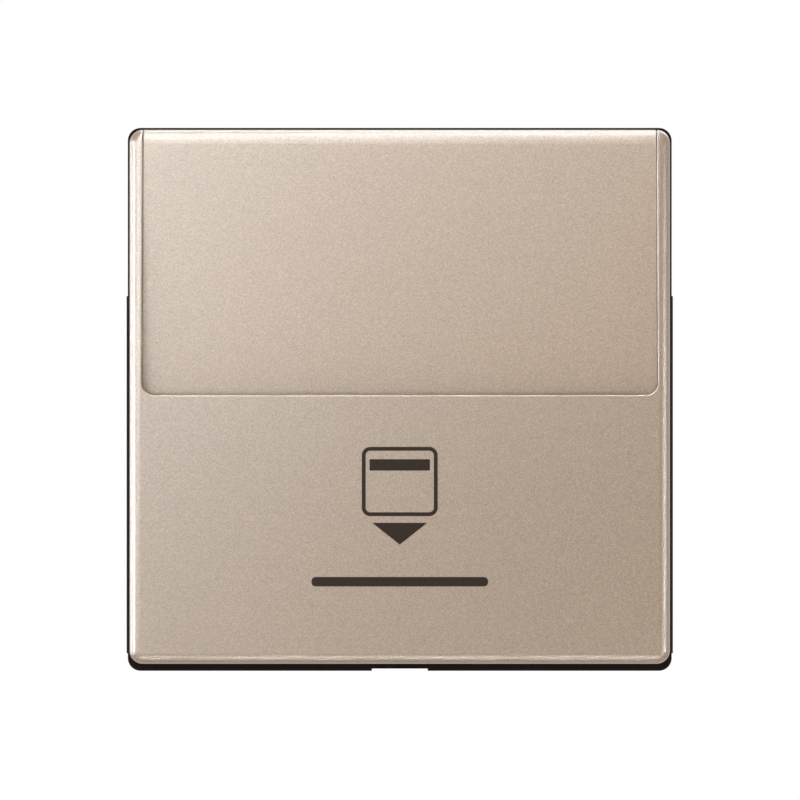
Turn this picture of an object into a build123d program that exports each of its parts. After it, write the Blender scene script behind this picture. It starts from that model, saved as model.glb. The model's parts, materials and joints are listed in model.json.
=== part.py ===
from build123d import *
import math
import os

# A hotel key card switch: the cover unit with its card slot, and the push-button switch behind it.
# The model is drawn lying on its back: X to the right, Y up the wall, Z out of the wall, with the
# wall at zero. stand_up() then turns it, so that the finished part has Z up and its front at minus Y.
# All sizes are in millimetres.

# Key card, and the room it needs
card_width = 53.98
card_thickness = 0.76
card_side_play = 0.19
card_slot_play = 0.54

# Cover: outline, reach from the wall, rails and rounded edges
cover_reach = 16.5
skirt_height = 57.3
rail_width = 1.27
side_step = 0.25
top_step = 0.26
bottom_step = 0.8
cover_corner_radius = 1.4
edge_radius = 1.1
panel_wall = 1.1
slot_above_centre = 0.46
slot_corner_radius = 1.3
slot_edge_radius = 0.16
rest_flush_drop = 1.45
panel_draft = 0.165
panel_seam = 0.05
floor_wall = 1.1

# Upper panel and the back wall of the card pocket
rest_wall = 1.3
panel_tuck = 2.0
rest_joint = 0.05
pocket_side_wall = 1.37
back_plate_side_gap = 1.1
back_plate_foot = 1.5
back_plate_floor_gap = 0.3
back_plate_deck_gap = 0.384
guide_rib_width = 0.8
guide_rib_inner = 8.0
guide_rib_side_gap = 2.4
guide_rib_play = 0.05

# Rear housing
skirt_wall = 1.5
skirt_corner_radius = 1.35
skirt_edge_radius = 0.3
wall_gap = 0.3
deck_wall = 1.4
lip_card_gap = 0.36
lip_wall = 0.8
lip_play = 0.05
side_pad_rise = 0.13
side_pad_top = 10.9
side_pad_above_bottom = 1.85
side_pad_setback = 0.8
prising_notch_width = 5.9
prising_notch_depth = 0.24
prising_opening_height = 3.0
bead_length = 6.0
bead_rise = 0.25
bead_height = 0.6
bead_from_deck = 0.4
bead_below_centre = 16.0

# Small screws of the housing
screw_shank_radius = 0.9
screw_head_radius = 1.7
screw_head_height = 1.1
screw_slot_width = 0.5
screw_slot_depth = 0.5
screw_post_radius = 2.0
screw_bite = 2.0
upper_screw_below_top = 8.39
upper_screw_inset = 6.0
lower_screw_drop = 3.4
lower_screw_inset = 4.0

# Card lever with its pin and spring
lever_pivot_height = 10.0
lever_pin_radius = 1.0
lever_boss_radius = 2.2
lever_boss_gap = 0.25
pin_play = 0.04
lever_half_width = 6.0
lever_wall = 1.6
lever_gap = 0.4
lever_above_floor = 2.75
nose_half_width = 2.8
nose_above_lever_end = 1.4
nose_lower_slope = 0.8
nose_tip_height = 1.4
nose_upper_slope = 4.4
nose_panel_gap = 0.3
pad_radius = 1.5
pad_gap = 0.2
pad_half_width = 3.0
window_play = 1.0
lever_window_side = 1.2
lever_window_top = 3.0
lever_window_bottom = 2.2
ear_wall = 2.0
ear_side_gap = 0.3
lever_spring_below_button = 3.0
lever_spring_radius = 1.6
lever_spring_wire = 0.35
lever_spring_turns = 4
spring_peg_height = 0.8
spring_seat_gap = 0.02
spring_bore_play = 0.15

# Leaf springs for the card
leaf_width = 4.0
leaf_wall = 0.25
leaf_below_slot = 5.0
leaf_above_floor = 6.2
leaf_bow = 1.3
leaf_foot_length = 2.2

# Carrier plate
carrier_wall = 1.2
carrier_gap = 0.2
carrier_corner_radius = 3.0
carrier_opening_play = 0.3
carrier_side_band = 9.7
carrier_end_band = 6.65
box_screw_inset = 5.76
box_screw_hole_radius = 1.75

# Front frame of the insert
frame_below_deck = 3.4
frame_lap = 0.8
frame_side_wall = 1.6
frame_front_wall = 1.4
frame_flange_height = 3.0
frame_flange_wall = 1.2
frame_play = 0.5
rivet_radius = 1.0
rivet_head_radius = 1.9
rivet_head_height = 0.6
rivet_half_spacing = 12.0
frame_screw_inset = 4.5
frame_screw_radius = 1.1
frame_screw_head_radius = 1.9
frame_screw_head_height = 0.9
frame_post_radius = 2.2

# Snap legs of the housing on the frame
leg_wall = 1.4
leg_half_width = 3.0
leg_from_centre = 10.0
leg_gap = 0.2
leg_end_gap = 1.0
hook_reach = 0.9
hook_height = 1.0
hook_play = 0.2

# Push button, its stem and springs
button_half_width = 8.0
button_half_height = 6.0
button_drop = 5.0
button_proud = 3.2
button_wall = 1.5
button_corner_radius = 1.0
button_play = 0.2
button_lip = 0.9
button_lip_wall = 1.0
button_stop_gap = 0.1
stem_radius = 1.9
shoulder_radius = 3.6
shoulder_gap = 1.4
collar_radius = 2.7
collar_wall = 1.0
collar_gap = 0.15
tail_radius = 1.3
tail_length = 3.5
contact_spring_radius = 2.85
contact_spring_wire = 0.45
contact_spring_turns = 3.5
button_spring_radius = 1.95
button_spring_wire = 0.4
button_spring_turns = 5

# Contact bridge and fixed contacts
bridge_half_length = 8.0
bridge_half_width = 2.3
bridge_wall = 0.8
bridge_top_depth = 2.0
bridge_hole_play = 0.25
contact_spacing_half = 6.0
contact_radius = 1.4
contact_height = 0.7
contact_stud_radius = 0.7
contact_travel = 1.2
contact_gap_rest = 0.05
strip_wall = 0.8
strip_width = 3.2

# Terminals
wire_side_gap = 2.4
wire_pitch = 3.6
wire_hole_radius = 1.3
terminal_bar_half_width = 3.4
wire_room = 1.3
clamp_wall = 0.4
clamp_half_width = 1.45
clamp_reach = 3.2
clamp_seat_gap = 1.0
clamp_back_gap = 6.0
clamp_end_gap = 1.15
clamp_tip_share = 0.69
clamp_bend_radius = 0.9
clamp_tip_gap = 0.3
release_half_width = 3.0
release_wall = 1.8
release_proud = 1.0
release_length = 4.2
release_play = 0.15
release_above_wire = 2.1

# Base in the wall box
base_depth = 19.5
base_wall = 1.8
base_corner_radius = 1.0
shelf_wall = 1.5
rear_cover_wall = 1.5
rear_lug_height = 1.5
rear_lug_wall = 1.0
rear_lug_length = 8.0
rear_lug_play = 0.1
cup_play = 0.3
cup_wall = 0.8
cup_depth = 4.3

# Spreading claws with their nuts and screws
claw_offset = 4.0
claw_depth = 5.0
claw_half_height = 4.0
claw_ear_wall = 1.0
claw_ear_radius = 2.4
claw_web_wall = 1.0
claw_web_gap = 0.3
claw_length = 14.0
claw_tooth_reach = 2.0
claw_tooth_wall = 1.5
claw_tooth_count = 3
claw_nut_radius = 2.2
claw_nut_gap = 0.3
claw_trunnion_radius = 1.2
claw_screw_radius = 1.5
claw_screw_play = 0.05
claw_screw_hole_play = 0.4
claw_screw_head_radius = 2.8
claw_screw_head_height = 1.7
claw_screw_seat_gap = 0.05
claw_screw_tail = 8.0
claw_screw_slot_width = 0.8
claw_screw_slot_depth = 0.9

# How far a cutting shape runs past what it cuts
overrun = 1.0

# Sizes that follow from the ones above
channel_half = card_width / 2 + card_side_play
cover_half_width = channel_half + rail_width
skirt_half_width = cover_half_width + side_step
skirt_half_height = skirt_height / 2
cover_top = skirt_half_height - top_step
cover_bottom = bottom_step - skirt_half_height
panel_inner_reach = cover_reach - panel_wall
slot_gap = card_thickness + card_slot_play
recess_depth = panel_wall + slot_gap
rest_flush_height = cover_top - rest_flush_drop
rest_slope = recess_depth / (rest_flush_height - slot_above_centre)
pocket_half_width = cover_half_width - pocket_side_wall
pocket_floor = cover_bottom + floor_wall
skirt_inner_half_width = skirt_half_width - skirt_wall
skirt_inner_half_height = skirt_half_height - skirt_wall
panel_low_end = slot_above_centre - panel_tuck
back_plate_top = panel_low_end - rest_joint
back_plate_bottom = pocket_floor + back_plate_floor_gap
back_plate_half_width = pocket_half_width - back_plate_side_gap
carrier_half_width = skirt_inner_half_width - carrier_gap
carrier_half_height = skirt_inner_half_height - carrier_gap
base_half_width = carrier_half_width - carrier_side_band - carrier_opening_play
base_half_height = carrier_half_height - carrier_end_band - carrier_opening_play
frame_half_width = base_half_width + frame_lap
frame_half_height = base_half_height - frame_play
flange_half_height = base_half_height + frame_flange_height
button_height = -button_drop
lever_spring_height = button_height - button_half_height - lever_spring_below_button
bridge_top = -bridge_top_depth
bridge_bottom = bridge_top - bridge_wall
moving_contact_face = bridge_bottom - contact_height
fixed_contact_face = moving_contact_face - contact_travel - contact_gap_rest
strip_top = fixed_contact_face - contact_height
shelf_top = strip_top - strip_wall
shelf_bottom = shelf_top - shelf_wall
collar_top = bridge_bottom - collar_gap
collar_bottom = collar_top - collar_wall
cup_radius = button_spring_radius + button_spring_wire / 2 + cup_play
cup_floor = shelf_top - cup_depth
base_rear = -base_depth
rear_cover_face = base_rear - rear_cover_wall
clamp_back_height = base_half_height - base_wall - clamp_seat_gap
wire_height = clamp_back_height - clamp_back_gap
wire_outer = base_half_width - base_wall - wire_side_gap
wire_inner = wire_outer - wire_pitch
terminal_bar_height = wire_height - wire_room
claw_x = base_half_width + claw_offset
claw_z = -claw_depth
frame_screw_x = base_half_width - frame_screw_inset
frame_screw_y = base_half_height - frame_screw_inset
upper_screw_x = channel_half - upper_screw_inset
lower_screw_x = channel_half - lower_screw_inset
upper_screw_y = cover_top - upper_screw_below_top
lower_screw_y = back_plate_top - lower_screw_drop
side_pad_bottom = side_pad_above_bottom - skirt_half_height
lever_end = pocket_floor + lever_above_floor
nose_bottom = lever_end + nose_above_lever_end
nose_tip_bottom = nose_bottom + nose_lower_slope
nose_tip_top = nose_tip_bottom + nose_tip_height
nose_top = nose_tip_top + nose_upper_slope


def rest_reach(height):
    """Reach from the wall of the leaning plane that the card rests on."""
    return cover_reach - rest_slope * (rest_flush_height - height)


skirt_reach = rest_reach(back_plate_bottom) - rest_wall - back_plate_deck_gap
deck_back = skirt_reach - deck_wall
frame_reach = deck_back - frame_below_deck
button_front = frame_reach + button_proud
lever_pivot_reach = rest_reach(lever_pivot_height) - rest_wall - lever_boss_gap - lever_boss_radius
upper_post_top = rest_reach(upper_screw_y) - rest_wall
lower_post_top = rest_reach(lower_screw_y) - rest_wall


def span(half, centre=0):
    """Lower and upper limit of a width that lies evenly about a centre."""
    return (centre - half, centre + half)


def block(x_limits, y_limits, z_limits):
    """Box between three pairs of limits, given in any order."""
    limits = [sorted(pair) for pair in (x_limits, y_limits, z_limits)]
    sizes = [high - low for low, high in limits]
    centre = [(low + high) / 2 for low, high in limits]
    return Pos(*centre) * Box(*sizes)


def round_block(half_width, half_height, z_limits, radius):
    """Block about the middle of the wall plane, with its four upright corners rounded."""
    low, high = sorted(z_limits)
    outline = RectangleRounded(2 * half_width, 2 * half_height, radius)
    return Pos(0, 0, low) * extrude(outline, high - low)


def rod(radius, x, y, z_limits):
    """Round rod that points out of the wall."""
    low, high = sorted(z_limits)
    return Pos(x, y, (low + high) / 2) * Cylinder(radius, high - low)


def cross_rod(radius, x_limits, y, z):
    """Round rod that lies across, from left to right."""
    low, high = sorted(x_limits)
    return Pos((low + high) / 2, y, z) * Rot(0, 90, 0) * Cylinder(radius, high - low)


def upright_rod(radius, x, y_limits, z):
    """Round rod that stands up the wall."""
    low, high = sorted(y_limits)
    return Pos(x, (low + high) / 2, z) * Rot(90, 0, 0) * Cylinder(radius, high - low)


def side_profile(points, x_limits):
    """Closed outline in height and reach, drawn out from one side to the other."""
    low, high = sorted(x_limits)
    outline = make_face(Polyline(*points, close=True))
    return Pos(low, 0, 0) * extrude(Plane.YZ * outline, high - low)


def group(solids):
    """Like pieces that share one node, each its own solid."""
    return Compound(children=[solid for piece in solids for solid in piece.solids()])


def coil(mean_radius, wire, z_low, z_high, turns):
    """Coil spring up the Z axis, wound in quarter turns, its ends cut square to the wire."""
    quarters = round(turns * 4)
    climb = z_high - z_low - wire

    def place(quarter):
        angle = quarter * math.pi / 2
        height = z_low + wire / 2 + climb * quarter / quarters
        return Vector(mean_radius * math.cos(angle), mean_radius * math.sin(angle), height)

    arcs = [ThreePointArc(place(q), place(q + 1 / 2), place(q + 1)) for q in range(quarters)]
    path = Wire(arcs)
    start = Plane(origin=path @ 0, z_dir=path % 0)
    pitch = climb / turns
    print("coil: gap between turns", round(pitch - wire, 2), "mm")
    return sweep(start * Circle(wire / 2), path=path)


def opening_outline(widen):
    """Outline of the upper panel's opening: narrower towards the top, round at its lower corners."""
    low = slot_above_centre - widen
    high = cover_top + overrun
    low_half = channel_half + widen
    high_half = channel_half - panel_draft + widen
    outline = Polygon(
        (-low_half, low), (low_half, low), (high_half, high), (-high_half, high), align=None
    )
    low_corners = outline.vertices().sort_by(Axis.Y)[:2]
    return fillet(low_corners, slot_corner_radius + widen)


def front_cover():
    """Lower panel, side rails and rim in one moulding, open at the back and at the top."""
    half_height = (cover_top - cover_bottom) / 2
    centre = (cover_top + cover_bottom) / 2
    body = round_block(
        cover_half_width, half_height, (skirt_reach, cover_reach), cover_corner_radius
    )
    body = fillet(body.faces().sort_by(Axis.Z)[-1].edges(), edge_radius)
    body = Pos(0, centre, 0) * body
    hollow_top = slot_above_centre + slot_corner_radius
    body -= block(
        span(pocket_half_width),
        (pocket_floor, hollow_top),
        (skirt_reach - overrun, panel_inner_reach),
    )
    opening_depth = cover_reach - skirt_reach + 2 * overrun
    body -= Pos(0, 0, skirt_reach - overrun) * extrude(opening_outline(0), opening_depth)
    body += guide_ribs()
    for x, y in bead_places():
        body -= bead(x, y, lip_play)
    opening_edges = [
        edge
        for edge in body.edges()
        if abs(edge.center().Z - cover_reach) < slot_edge_radius
        and abs(edge.center().X) < channel_half
        and edge.center().Y > slot_above_centre - slot_edge_radius
    ]
    return fillet(opening_edges, slot_edge_radius)


def guide_ribs():
    """Four ribs behind the lower panel that keep the card on the leaning back wall."""
    foot_reach = rest_reach(pocket_floor) + slot_gap
    outer = pocket_half_width - guide_rib_side_gap
    ribs = Part()
    for x in (-outer, -guide_rib_inner, guide_rib_inner, outer):
        outline = [
            (slot_above_centre, panel_inner_reach),
            (pocket_floor, panel_inner_reach),
            (pocket_floor, foot_reach + guide_rib_play),
        ]
        ribs += side_profile(outline, span(guide_rib_width / 2, x))
    return ribs


def bead_places():
    """Middle of the snap bead on each side wall of the cover."""
    return [(side * pocket_half_width, -bead_below_centre) for side in (-1, 1)]


def bead(x, y, play):
    """Snap bead on the housing's lip, or with play the groove for it."""
    low = skirt_reach + bead_from_deck
    return block(
        span(bead_rise + play, x),
        span(bead_length / 2 + play, y),
        (low - play, low + bead_height + play),
    )


def upper_panel():
    """Leaning card rest that carries the rounded top edge, tucked behind the lower panel."""
    inner_top = cover_top - rest_wall
    low_reach = rest_reach(panel_low_end)
    front = Line((rest_flush_height, cover_reach), (panel_low_end, low_reach))
    low_end = Line((panel_low_end, low_reach), (panel_low_end, low_reach - rest_wall))
    back_top = (inner_top, rest_reach(inner_top) - rest_wall)
    back = Line((panel_low_end, low_reach - rest_wall), back_top)
    inner_side = Line(back_top, (inner_top, skirt_reach))
    rim = Line((inner_top, skirt_reach), (cover_top, skirt_reach))
    outer_side = Line((cover_top, skirt_reach), (cover_top, cover_reach - edge_radius))
    corner = CenterArc((cover_top - edge_radius, cover_reach - edge_radius), edge_radius, 0, 90)
    crest = Line((cover_top - edge_radius, cover_reach), (rest_flush_height, cover_reach))
    outline = make_face([front, low_end, back, inner_side, rim, outer_side, corner, crest])
    half = channel_half + overrun
    body = Pos(-half, 0, 0) * extrude(Plane.YZ * outline, 2 * half)
    deep = cover_reach + overrun
    above_slot = extrude(opening_outline(-panel_seam), deep)
    below_slot = block(
        span(pocket_half_width - panel_seam),
        (panel_low_end - overrun, slot_above_centre + slot_corner_radius),
        (0, panel_inner_reach - card_thickness),
    )
    body &= above_slot + below_slot
    for side in (-1, 1):
        x = side * upper_screw_x
        body += rod(screw_post_radius, x, upper_screw_y, (skirt_reach, upper_post_top))
    for side in (-1, 1):
        x = side * upper_screw_x
        body -= rod(
            screw_shank_radius,
            x,
            upper_screw_y,
            (skirt_reach - overrun, skirt_reach + screw_bite),
        )
    return body


def card_back_plate():
    """Back wall of the card pocket, on two side feet, with the window for the lever's nose."""
    top = rest_reach(back_plate_top)
    bottom = rest_reach(back_plate_bottom)
    plate = side_profile(
        [
            (back_plate_top, top),
            (back_plate_bottom, bottom),
            (back_plate_bottom, bottom - rest_wall),
            (back_plate_top, top - rest_wall),
        ],
        span(back_plate_half_width),
    )
    half_wall = rest_wall / 2
    for side in (-1, 1):
        outer = side * back_plate_half_width
        inner = side * (back_plate_half_width - back_plate_foot)
        plate += side_profile(
            [
                (back_plate_top, top - half_wall),
                (back_plate_bottom, bottom - half_wall),
                (back_plate_bottom, skirt_reach),
                (back_plate_top, skirt_reach),
            ],
            (inner, outer),
        )
        x = side * lower_screw_x
        plate += rod(
            screw_post_radius, x, lower_screw_y, (skirt_reach, lower_post_top + half_wall)
        )
    for side in (-1, 1):
        plate -= rod(
            screw_shank_radius,
            side * lower_screw_x,
            lower_screw_y,
            (skirt_reach - overrun, skirt_reach + screw_bite),
        )
    plate -= block(
        span(nose_half_width + window_play),
        (nose_top + window_play, nose_bottom - window_play),
        (skirt_reach - overrun, cover_reach),
    )
    return plate


def card_springs():
    """Two bowed leaf springs behind the lower panel that press the card back."""
    middle = (guide_rib_inner + pocket_half_width - guide_rib_side_gap) / 2
    top = slot_above_centre - leaf_below_slot
    bottom = pocket_floor + leaf_above_floor
    seat = panel_inner_reach
    springs = []
    for side in (-1, 1):
        bow = ThreePointArc(
            (top, seat - leaf_wall / 2),
            ((top + bottom) / 2, seat - leaf_bow),
            (bottom, seat - leaf_wall / 2),
        )
        foot = Line((top + leaf_foot_length, seat - leaf_wall / 2), (top, seat - leaf_wall / 2))
        strip = trace([foot, bow], leaf_wall)
        solid = extrude(Plane.YZ * strip, leaf_width)
        solid = Pos(side * middle - leaf_width / 2, 0, 0) * solid
        springs.append(solid)
    return group(springs)


def rear_housing():
    """Dark skirt with its deck, lip, lever ears, snap legs and prising notch."""
    body = round_block(
        skirt_half_width, skirt_half_height, (wall_gap, skirt_reach), skirt_corner_radius
    )
    body = fillet(body.faces().sort_by(Axis.Z)[-1].outer_wire().edges(), skirt_edge_radius)
    for side in (-1, 1):
        body += block(
            (0, side * (skirt_half_width + side_pad_rise)),
            (side_pad_top, side_pad_bottom),
            (wall_gap, skirt_reach - side_pad_setback),
        )
    body -= block(
        span(skirt_inner_half_width), span(skirt_inner_half_height), (0, deck_back)
    )
    body += housing_lip()
    window = block(
        span(lever_half_width + lever_window_side),
        (lever_pivot_height + lever_window_top, lever_end - lever_window_bottom),
        (0, cover_reach),
    )
    body -= window
    body += lever_ears()
    body += snap_legs()
    for x, y in bead_places():
        body += bead(x, y, 0)
    for x, y in housing_screw_places():
        body -= rod(screw_shank_radius + pin_play, x, y, (0, cover_reach))
    notch_half = prising_notch_width / 2
    body -= block(
        span(notch_half),
        (-skirt_half_height - overrun, -skirt_half_height + prising_notch_depth),
        (0, skirt_reach + overrun),
    )
    body -= block(
        span(notch_half),
        (-skirt_half_height - overrun, -skirt_inner_half_height + overrun),
        (0, prising_opening_height),
    )
    return body


def housing_lip():
    """Low wall on the deck that the front cover slips over, on three sides."""
    outer = pocket_half_width - lip_play
    low = pocket_floor + lip_play
    high = back_plate_top
    limits = (skirt_reach - overrun, rest_reach(pocket_floor) - lip_card_gap)
    wall = block(span(outer), (low, high), limits)
    inner = outer - lip_wall
    wall -= block(span(inner), (low - overrun, high + overrun), (0, cover_reach))
    return wall


def lever_ears():
    """Two ears on the deck that hold the lever's pin."""
    inner = lever_half_width + ear_side_gap
    outer = inner + ear_wall
    ears = Part()
    for side in (-1, 1):
        limits = (side * inner, side * outer)
        ears += cross_rod(lever_boss_radius, limits, lever_pivot_height, lever_pivot_reach)
        ears += block(
            limits,
            span(lever_boss_radius, lever_pivot_height),
            (deck_back, lever_pivot_reach),
        )
    outer_pin = span(outer + overrun)
    ears -= cross_rod(lever_pin_radius, outer_pin, lever_pivot_height, lever_pivot_reach)
    return ears


def snap_legs():
    """Four legs under the deck whose hooks grip the frame of the insert."""
    inner = frame_half_width + leg_gap
    legs = Part()
    end = carrier_wall + leg_end_gap
    for side in (-1, 1):
        for row in (-1, 1):
            width = span(leg_half_width, row * leg_from_centre)
            legs += block((side * inner, side * (inner + leg_wall)), width, (end, deck_back))
            legs += block(
                (side * (inner - hook_reach), side * inner), width, (end, end + hook_height)
            )
    return legs


def housing_screw_places():
    """Places of the four screws that come up through the deck."""
    return [
        (side * x, y)
        for side in (-1, 1)
        for x, y in ((upper_screw_x, upper_screw_y), (lower_screw_x, lower_screw_y))
    ]


def housing_screws():
    """Four pan-head screws under the deck."""
    screws = []
    for x, y in housing_screw_places():
        head = rod(screw_head_radius, x, y, (deck_back - screw_head_height, deck_back))
        shank = rod(screw_shank_radius, x, y, (deck_back, skirt_reach + screw_bite))
        slot_floor = deck_back - screw_head_height + screw_slot_depth
        slot = block(
            span(screw_head_radius + overrun, x), span(screw_slot_width / 2, y), (0, slot_floor)
        )
        screws.append(head + shank - slot)
    return group(screws)


def lever_pin():
    """Steel pin that the card lever turns on."""
    half = lever_half_width + ear_side_gap + ear_wall
    return cross_rod(lever_pin_radius, span(half), lever_pivot_height, lever_pivot_reach)


def card_lever():
    """Lever with its bored boss, leaning arm, wedge nose and pressing pad."""
    def arm_front(height):
        return rest_reach(height) - rest_wall - lever_gap

    arm_top = lever_pivot_height - lever_boss_radius / 2
    arm = side_profile(
        [
            (arm_top, arm_front(arm_top)),
            (lever_end, arm_front(lever_end)),
            (lever_end, arm_front(lever_end) - lever_wall),
            (arm_top, arm_front(arm_top) - lever_wall),
        ],
        span(lever_half_width),
    )
    boss = cross_rod(
        lever_boss_radius, span(lever_half_width), lever_pivot_height, lever_pivot_reach
    )
    bore = cross_rod(
        lever_pin_radius + pin_play,
        span(lever_half_width + overrun),
        lever_pivot_height,
        lever_pivot_reach,
    )
    tip = panel_inner_reach - nose_panel_gap
    root = lever_wall / 2
    nose = side_profile(
        [
            (nose_top, arm_front(nose_top) - root),
            (nose_top, arm_front(nose_top)),
            (nose_tip_top, tip),
            (nose_tip_bottom, tip),
            (nose_bottom, arm_front(nose_bottom)),
            (nose_bottom, arm_front(nose_bottom) - root),
        ],
        span(nose_half_width),
    )
    pad_reach = button_front + pad_gap + pad_radius
    pad = cross_rod(pad_radius, span(pad_half_width), button_height, pad_reach)
    pad += block(
        span(pad_half_width),
        span(pad_radius, button_height),
        (pad_reach, arm_front(button_height) - root),
    )
    return arm + boss + nose + pad - bore


def lever_spring():
    """Coil spring between the insert's frame and the lever."""
    back = rest_reach(lever_spring_height) - rest_wall - lever_gap - lever_wall
    low = frame_reach + spring_seat_gap
    lean = rest_slope * (lever_spring_radius + lever_spring_wire)
    high = back - lean - spring_seat_gap
    spring = coil(lever_spring_radius, lever_spring_wire, low, high, lever_spring_turns)
    return Pos(0, lever_spring_height, 0) * spring


def carrier_plate():
    """Steel plate that bears on the wall, with its opening and screw holes."""
    plate = round_block(
        carrier_half_width, carrier_half_height, (0, carrier_wall), carrier_corner_radius
    )
    through = (-overrun, carrier_wall + overrun)
    plate -= block(
        span(base_half_width + carrier_opening_play),
        span(base_half_height + carrier_opening_play),
        through,
    )
    for x in (-claw_x, claw_x):
        plate -= rod(claw_screw_radius + claw_screw_hole_play, x, 0, through)
    for column in (-1, 1):
        for row in (-1, 1):
            x = column * (carrier_half_width - box_screw_inset)
            y = row * (carrier_half_height - box_screw_inset)
            plate -= rod(box_screw_hole_radius, x, y, through)
    for x, y in rivet_places():
        plate -= rod(rivet_radius, x, y, through)
    return plate


def rivet_places():
    """Places of the four rivets that hold the frame's flanges to the plate."""
    y = base_half_height + (frame_flange_height + carrier_opening_play) / 2
    return [(x, row * y) for x in (-rivet_half_spacing, rivet_half_spacing) for row in (-1, 1)]


def plate_rivets():
    """Four rivets, flush at the wall side."""
    flange_top = carrier_wall + frame_flange_wall
    rivets = []
    for x, y in rivet_places():
        shank = rod(rivet_radius, x, y, (0, flange_top))
        head = rod(rivet_head_radius, x, y, (flange_top, flange_top + rivet_head_height))
        rivets.append(shank + head)
    return group(rivets)


def front_frame():
    """Front frame of the insert, which guides the push button."""
    body = block(
        span(frame_half_width), span(frame_half_height), (carrier_wall, frame_reach)
    )
    body += block(
        span(frame_half_width),
        span(flange_half_height),
        (carrier_wall, carrier_wall + frame_flange_wall),
    )
    body -= block(
        span(frame_half_width - frame_side_wall),
        span(frame_half_height - frame_side_wall),
        (0, frame_reach - frame_front_wall),
    )
    body -= block(
        span(button_half_width + button_play),
        span(button_half_height + button_play, button_height),
        (0, frame_reach + overrun),
    )
    for x, y in frame_screw_places():
        body += rod(frame_post_radius, x, y, (carrier_wall, frame_reach))
    for x, y in frame_screw_places():
        body -= rod(frame_screw_radius, x, y, (0, frame_reach + overrun))
        body -= rod(
            frame_screw_head_radius,
            x,
            y,
            (frame_reach - frame_screw_head_height, frame_reach + overrun),
        )
    hook_low = carrier_wall + leg_end_gap
    for side in (-1, 1):
        for row in (-1, 1):
            body -= block(
                (side * (frame_half_width + leg_gap - hook_reach - hook_play), side * claw_x),
                span(leg_half_width + hook_play, row * leg_from_centre),
                (hook_low - hook_play, hook_low + hook_height + hook_play),
            )
    peg_radius = lever_spring_radius - lever_spring_wire / 2 - spring_bore_play
    body += rod(
        peg_radius,
        0,
        lever_spring_height,
        (frame_reach - frame_front_wall, frame_reach + spring_peg_height),
    )
    for x, y in rivet_places():
        body -= rod(rivet_radius, x, y, (0, carrier_wall + frame_flange_wall + overrun))
    return body


def frame_screw_places():
    """Places of the four screws that hold the frame to the base."""
    return [(x, y) for x in (-frame_screw_x, frame_screw_x) for y in (-frame_screw_y, frame_screw_y)]


def frame_screws():
    """Four flush-headed screws through the frame into the base's posts."""
    screws = []
    head_low = frame_reach - frame_screw_head_height
    for x, y in frame_screw_places():
        head = rod(frame_screw_head_radius, x, y, (head_low, frame_reach))
        shank = rod(frame_screw_radius, x, y, (shelf_top, head_low))
        slot = block(
            span(frame_screw_head_radius + overrun, x),
            span(screw_slot_width / 2, y),
            (frame_reach - screw_slot_depth, frame_reach + overrun),
        )
        screws.append(head + shank - slot)
    return group(screws)


def push_button():
    """Button cap with its stop lip, shoulder, stem, collar and spring tail."""
    lip_top = frame_reach - frame_front_wall - button_stop_gap
    lip_low = lip_top - button_lip_wall
    cap = extrude(
        Pos(0, button_height, lip_low)
        * RectangleRounded(2 * button_half_width, 2 * button_half_height, button_corner_radius),
        button_front - lip_low,
    )
    cap = fillet(cap.faces().sort_by(Axis.Z)[-1].edges(), button_corner_radius / 2)
    cap += block(
        span(button_half_width + button_lip),
        span(button_half_height + button_lip, button_height),
        (lip_low, lip_top),
    )
    cap -= block(
        span(button_half_width - button_wall),
        span(button_half_height - button_wall, button_height),
        (lip_low - overrun, button_front - button_wall),
    )
    shoulder_low = carrier_wall + shoulder_gap
    stem = rod(
        shoulder_radius, 0, button_height, (shoulder_low, button_front - button_wall / 2)
    )
    stem += rod(stem_radius, 0, button_height, (collar_bottom, shoulder_low))
    stem += rod(collar_radius, 0, button_height, (collar_bottom, collar_top))
    stem += rod(tail_radius, 0, button_height, (collar_bottom - tail_length, collar_bottom))
    return cap + stem


def contact_spring():
    """Coil spring between the button's shoulder and the contact bridge."""
    high = carrier_wall + shoulder_gap - spring_seat_gap
    low = bridge_top + spring_seat_gap
    spring = coil(contact_spring_radius, contact_spring_wire, low, high, contact_spring_turns)
    return Pos(0, button_height, 0) * spring


def button_spring():
    """Coil spring between the button's collar and the cup in the base."""
    spring = coil(
        button_spring_radius,
        button_spring_wire,
        cup_floor + spring_seat_gap,
        collar_bottom - spring_seat_gap,
        button_spring_turns,
    )
    return Pos(0, button_height, 0) * spring


def contact_bridge():
    """Contact strip that rides on the button's stem."""
    body = block(
        span(bridge_half_length),
        span(bridge_half_width, button_height),
        (bridge_bottom, bridge_top),
    )
    body = fillet(body.edges().filter_by(Axis.Z), bridge_half_width / 2)
    hole = rod(stem_radius + bridge_hole_play, 0, button_height, (bridge_bottom - overrun, 0))
    body -= hole
    for side in (-1, 1):
        x = side * contact_spacing_half
        body -= rod(contact_stud_radius, x, button_height, (bridge_bottom - overrun, 0))
    return body


def bridge_contacts():
    """Two silver rivets in the bridge, faces towards the base."""
    rivets = []
    for side in (-1, 1):
        x = side * contact_spacing_half
        face = rod(contact_radius, x, button_height, (moving_contact_face, bridge_bottom))
        stud = rod(contact_stud_radius, x, button_height, (bridge_bottom, bridge_top))
        rivets.append(face + stud)
    return group(rivets)


def fixed_contacts():
    """Two silver rivets on the fixed strips, faces towards the room."""
    rivets = []
    for side in (-1, 1):
        x = side * contact_spacing_half
        face = rod(contact_radius, x, button_height, (strip_top, fixed_contact_face))
        stud = rod(contact_stud_radius, x, button_height, (shelf_top, strip_top))
        rivets.append(face + stud)
    return group(rivets)


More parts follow.
